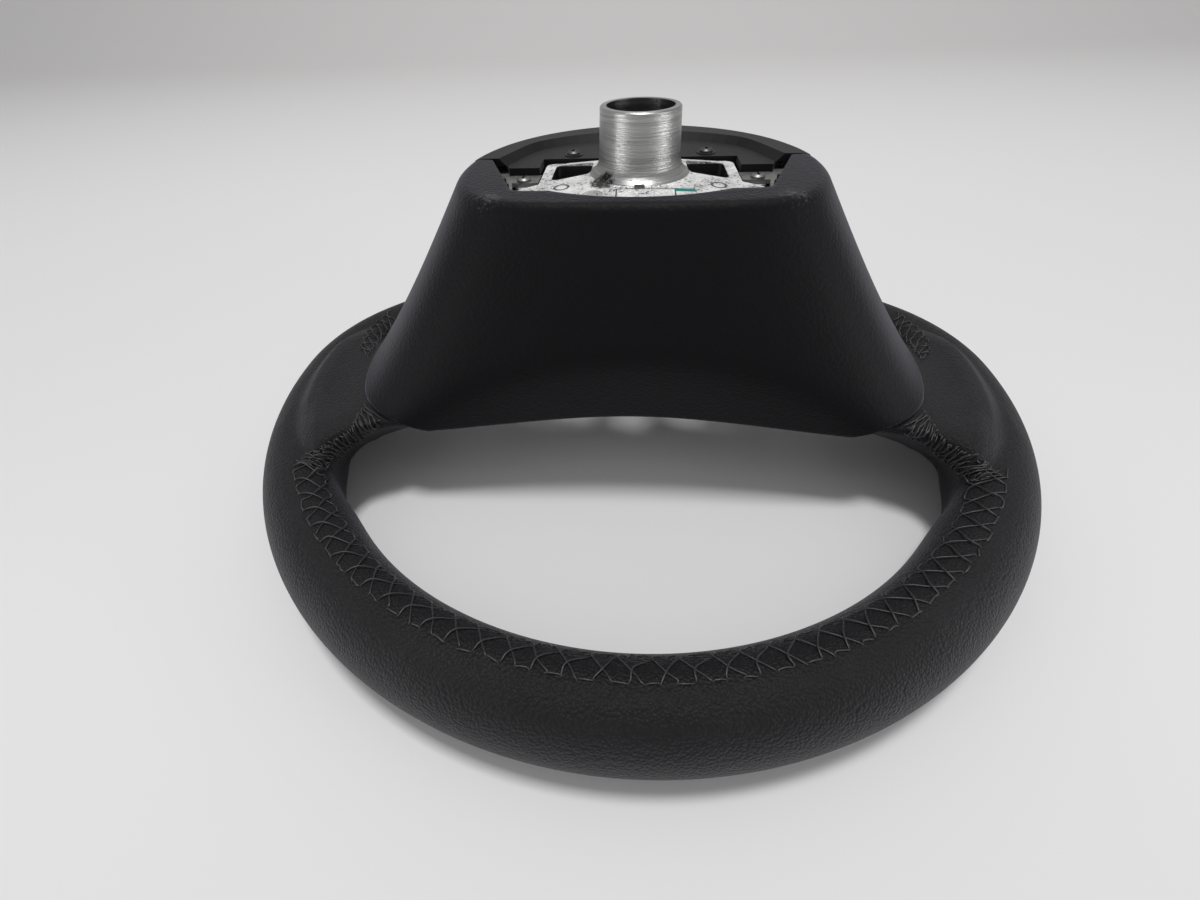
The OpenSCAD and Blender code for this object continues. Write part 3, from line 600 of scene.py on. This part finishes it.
def sideSheet(run, side):
    flip = np.array([side, 1, 1])

    def sheet(s, t):
        # The last stitch reaches past its own place by a part of a stitch
        place = np.asarray(s) / (run["stitches"] + lace["overrun"])
        inner, outer = curveThrough(run["inner"], place), curveThrough(run["outer"], place)
        return (inner + (outer - inner) * np.asarray(t)[:, None]) * flip

    return sheet


for side in (1, -1):
    for run in sideRuns.values():
        addNet(sideSheet(run, side), run["stitches"], run["wobble"], run["under"], run["over"])
addTubes("seamLacing", strands, lace["thickness"], thread, ("seam_lacing",))
print("lacing made", len(strands))

# Covers: the upper one blends a round wall, a flat near face and an undercut lower edge
cover = {"top": 134.5, "edge": 42.0, "wall": 2.8, "topRadius": 73.0, "skirt": 145.0, "flare": 0.12,
         "bowl": 92.0, "face": 48.0, "foot": 69.5, "under": 51.0, "lean": 0.262, "bow": 14.5,
         "bowAt": 108.0, "sharp": 8, "edgeSharp": 30, "split": 12.0, "gap": 1.1}
mouth = {"land": 9.0, "nearLand": 8.5, "nearRadius": 72.0, "cornerY": 31.5, "slant": 20.5,
         "sharp": 24}


def coverShare(z):
    # From 0 at the cover's top to 1 at its lowest edge
    return (cover["top"] - z) / (cover["top"] - cover["edge"])


def blendRadii(a, b, sharp):
    # The smaller of two radii, with a rounded corner where they meet
    low, high = np.minimum(a, b), np.maximum(a, b)
    return low * (1 + (low / high) ** sharp) ** (-1 / sharp)


def wallRadius(z):
    h = coverShare(z)
    share = (1 - cover["flare"]) * h + cover["flare"] * h ** 3
    return lerp(cover["topRadius"], cover["skirt"], share)


def nearness(angle):
    # How much of a radius at this angle points to the near side, never quite nothing
    return np.maximum(-np.sin(angle), 0.02)


def coverRadius(angle, z):
    face = lerp(cover["face"], cover["foot"], coverShare(z)) / nearness(angle)
    upper = blendRadii(wallRadius(z), face, cover["sharp"])
    bow = cover["bow"] * (upper * np.cos(angle) / cover["bowAt"]) ** 2
    under = cover["under"] + bow + cover["lean"] * (z - cover["edge"])
    return blendRadii(upper, under / nearness(angle), cover["edgeSharp"])


def coverAngle(u, z):
    end = np.arcsin(cover["split"] / wallRadius(z))
    return lerp(-math.pi - end, end, u)


def aroundHub(radius, angle, z):
    return np.stack([radius * np.cos(angle), radius * np.sin(angle), z + 0 * radius], -1)


def coverPoint(u, z, inset):
    angle = coverAngle(u, z)
    return aroundHub(coverRadius(angle, z) - inset, angle, z)


def mouthPoint(u, z, inset, share=1.0):
    # The opening has a curved near edge and two straight sides; share runs from the
    # outer edge of the flat rim, 0, to the opening, 1
    angle = coverAngle(u, np.full_like(u, cover["top"]))
    slant, split = math.radians(mouth["slant"]), math.asin(cover["split"] / cover["topRadius"])
    lean = np.arctan2(np.sin(angle), np.abs(np.cos(angle)))
    side = (cover["topRadius"] - mouth["land"]) * math.cos(slant + split) / np.cos(lean + slant)
    centre = mouth["nearRadius"] - cover["face"] + mouth["nearLand"]
    reach = centre * np.sin(angle)
    arc = reach + np.sqrt(reach ** 2 + mouth["nearRadius"] ** 2 - centre ** 2)
    near = np.maximum(arc, mouth["cornerY"] / nearness(angle))
    outer = coverRadius(angle, cover["top"]) - upperMesh["topRound"]
    return aroundHub(lerp(outer, blendRadii(side, near, mouth["sharp"]) + inset, share), angle, z)


# Heights at which the lower edges of the cover are tried, from its lowest one up
edgeTrial = {"top": 62.0, "step": 0.25, "inset": 0.5, "smooth": 7}
edgeLevels = np.arange(cover["edge"], edgeTrial["top"], edgeTrial["step"])


def heightAbove(blocked):
    # For each column the lowest level above all blocked ones
    last = len(edgeLevels) - 1
    highest = np.where(blocked.any(0), last - np.argmax(blocked[::-1], axis=0), -1)
    return edgeLevels[np.minimum(highest + 1, last)]


def edgeHeights(u):
    # The lower edge stays a small gap above the leather, and its steps are smoothed
    tried = [leatherField(*coverPoint(u, np.full_like(u, z), edgeTrial["inset"]).T)
             for z in edgeLevels]
    steps = heightAbove(np.stack(tried) <= cover["gap"])
    width = edgeTrial["smooth"]
    return np.convolve(np.pad(steps, width // 2, mode="edge"), np.ones(width) / width, mode="valid")


# topRound rounds the outer corner of the top, lip the lower edge; bevel lists the drops and
# insets of the opening's edge
upperMesh = {"columns": 420, "levels": 70, "innerLevels": 24, "topSteps": 7, "topRound": 3.0,
             "lip": 0.5, "landInset": 0.8, "bevel": ((0.25, 0.2), (0.9, 0.0), (2.8, 0.0)),
             "innerInset": 1.15}
u = np.linspace(0, 1, upperMesh["columns"])
low = edgeHeights(u)
lipTop = low + upperMesh["lip"]
high = cover["top"] - upperMesh["topRound"]
rings = [coverPoint(u, low, cover["wall"] - upperMesh["lip"]),
         coverPoint(u, low, upperMesh["lip"])]
for share in np.linspace(0, 1, upperMesh["levels"]):
    rings.append(coverPoint(u, lerp(lipTop, high, share), 0))
for turn in np.linspace(0, math.pi / 2, upperMesh["topSteps"])[1:]:
    r = upperMesh["topRound"]
    rings.append(coverPoint(u, np.full_like(u, high + r * math.sin(turn)),
                            r * (1 - math.cos(turn))))
for share in np.linspace(0, 1, upperMesh["topSteps"])[1:]:
    rings.append(mouthPoint(u, cover["top"], upperMesh["landInset"], share))
for drop, inset in upperMesh["bevel"]:
    rings.append(mouthPoint(u, cover["top"] - drop, inset))
for share in np.linspace(0, 1, upperMesh["innerLevels"]):
    rings.append(coverPoint(u, lerp(cover["top"] - cover["wall"], lipTop, share),
                            cover["wall"] * upperMesh["innerInset"]))
rings = np.stack(rings)
count, columns = rings.shape[:2]
points = list(rings.reshape(-1, 3))
faces = [f[::-1] for f in gridFaces(count, columns, closeRows=True)]
for column, order in ((0, 1), (columns - 1, -1)):
    faces.append(tuple(k * columns + column for k in range(count))[::order])


def addPart(ringPoints, flip=False):
    # Adds a closed tube, given as its rings of points, to the cover's points and faces
    rows, sides = ringPoints.shape[:2]
    start, last = len(points), rows * sides - 1
    part = gridFaces(rows, sides, closeColumns=True)
    part += [tuple(range(sides)), tuple(last - k for k in range(sides))]
    faces.extend(tuple(start + v for v in f)[::-1 if flip else 1] for f in part)
    points.extend(ringPoints.reshape(-1, 3))
    return len(part)


# Moulded pegs under the edge of the opening, with a rounded foot: shares of the radius, heights
peg = {"places": ((53.0, -19.0), (55.4, -12.0)), "radius": 2.0, "foot": 128.7, "sides": 20,
       "profile": ((0.5, 0.0), (0.8, 0.1), (1.0, 0.5), (1.0, 4.4))}
turns = np.linspace(0, 2 * math.pi, peg["sides"], endpoint=False)
for side in (1, -1):
    for x, y in peg["places"]:
        addPart(np.stack([np.stack([side * x + peg["radius"] * share * np.cos(turns),
                                    y + peg["radius"] * share * np.sin(turns),
                                    peg["foot"] + z + 0 * turns], -1)
                          for share, z in peg["profile"]]))

# A flat wall closes the cover over each spoke on its far side, outside the lower cover's bowl
endWall = {"levels": 30, "top": 120.5, "lap": 1.2, "inside": 4.0}
back = cover["split"] - cover["wall"]
across = np.linspace(cover["bowl"], cover["skirt"], endWall["levels"]) - endWall["inside"]
blocked = np.array([leatherField(across, back + 0 * across, z + 0 * across) < cover["gap"]
                    for z in edgeLevels]).any(1, keepdims=True)
wallFoot = heightAbove(blocked)[0]
z = np.linspace(wallFoot, endWall["top"], endWall["levels"])
outer = np.sqrt(wallRadius(z) ** 2 - cover["split"] ** 2) - endWall["lap"]
bowl = lerp(cover["topRadius"], cover["bowl"], coverShare(z))
inner = np.minimum(bowl, outer - endWall["inside"]) - cover["wall"]
corners = ((inner, back), (outer, back), (outer, cover["split"]), (inner, cover["split"]))
flatFaces = 0
for side in (1, -1):
    wall = np.stack([np.stack([side * x, y + 0 * z, z], -1) for x, y in corners], 1)
    flatFaces += addPart(wall, flip=side > 0)
addPiece("upperCover", points, faces, upperPlastic, ("upper_rear_cover",), flatFaces)
print("upper cover made", len(faces))

# Floor, light and camera; the paper's heights are counted from the floor
studio = {"floor": (0.78, 0.775, 0.775), "back": (0.74, 0.73, 0.725), "shadeFade": (0.45, 1.7),
          "patch": 0.3, "blot": 0.1, "near": -1.5, "far": 1.6, "curve": 0.9, "height": 2.5,
          "halfWidth": 4.0, "steps": 12, "columns": 9, "sky": (0.90, 0.90, 0.91),
          "skyStrength": 0.46}
lamps = {"topLamp": {"place": (0.05, -0.02, 2.6), "size": 0.5, "power": 40.5, "beam": 180},
         "leftLamp": {"place": (-0.62, -0.45, 0.02), "size": 0.24, "power": 0.13, "beam": 60},
         "rightLamp": {"place": (0.70, -0.30, 0.02), "size": 0.24, "power": 0.135, "beam": 60}}
paper = Shader("floorPaper", {"Roughness": 0.9, "Specular IOR Level": 0.1})
# The paper is painted darker towards the back, as painted shade where the lamps' light falls off;
# noise blots the change
distance = paper.y + paper.noise(studio["patch"], 2) * studio["blot"]
paper.finish(colour=paper.mix(distance.clamped(*studio["shadeFade"]), studio["floor"], studio["back"]))
# The paper runs back along the floor, curves up and ends as a wall
profile = [(y, 0.0) for y in np.linspace(studio["near"], studio["far"], studio["steps"])]
for turn in np.linspace(0, math.pi / 2, studio["steps"])[1:]:
    profile.append((studio["far"] + studio["curve"] * math.sin(turn),
                    studio["curve"] * (1 - math.cos(turn))))
profile.append((studio["far"] + studio["curve"], studio["height"]))
widths = np.linspace(-studio["halfWidth"], studio["halfWidth"], studio["columns"])
floorPoints = [(x * 1000, y * 1000, z * 1000) for y, z in profile for x in widths]
floor = addMesh("floor", floorPoints, gridFaces(len(profile), len(widths)), paper.material)

world = bpy.data.worlds.new("studio")
world.use_nodes = True
sky = world.node_tree.nodes["Background"]
sky.inputs[0].default_value = (*studio["sky"], 1.0)
sky.inputs[1].default_value = studio["skyStrength"]
scene.world = world

for name, values in lamps.items():
    lamp = bpy.data.lights.new(name, "AREA")
    lamp.size, lamp.energy = values["size"], values["power"]
    lamp.spread = math.radians(values["beam"])
    holder = bpy.data.objects.new(name, lamp)
    holder.location = values["place"]
    holder.rotation_euler = (-Vector(values["place"])).to_track_quat("-Z", "Y").to_euler()
    scene.collection.objects.link(holder)

# The camera was fitted to the photo: focal length and width in its pixels, angles in degrees
shot = {"focal": 497.0, "width": 1200, "sensor": 36.0, "clip": 0.01,
        "place": (-0.0019, -0.2284, 0.0375), "pitch": 44.04, "yaw": -4.82, "roll": -2.39}
pitch, yaw, roll = (math.radians(shot[k]) for k in ("pitch", "yaw", "roll"))
ahead = Vector((math.sin(yaw) * math.cos(pitch), math.cos(yaw) * math.cos(pitch), -math.sin(pitch)))
right = ahead.cross(Vector((0, 0, 1))).normalized()
up = right.cross(ahead)
tiltRight = math.cos(roll) * right + math.sin(roll) * up
tiltUp = math.cos(roll) * up - math.sin(roll) * right
camera = bpy.data.cameras.new("photoCamera")
camera.sensor_width = shot["sensor"]
camera.lens = shot["focal"] / shot["width"] * shot["sensor"]
camera.clip_start = shot["clip"]
viewer = bpy.data.objects.new("photoCamera", camera)
turned = Matrix((tiltRight, tiltUp, -ahead)).transposed().to_4x4()
viewer.matrix_world = Matrix.Translation(shot["place"]) @ turned
scene.collection.objects.link(viewer)
scene.camera = viewer
print("studio made")
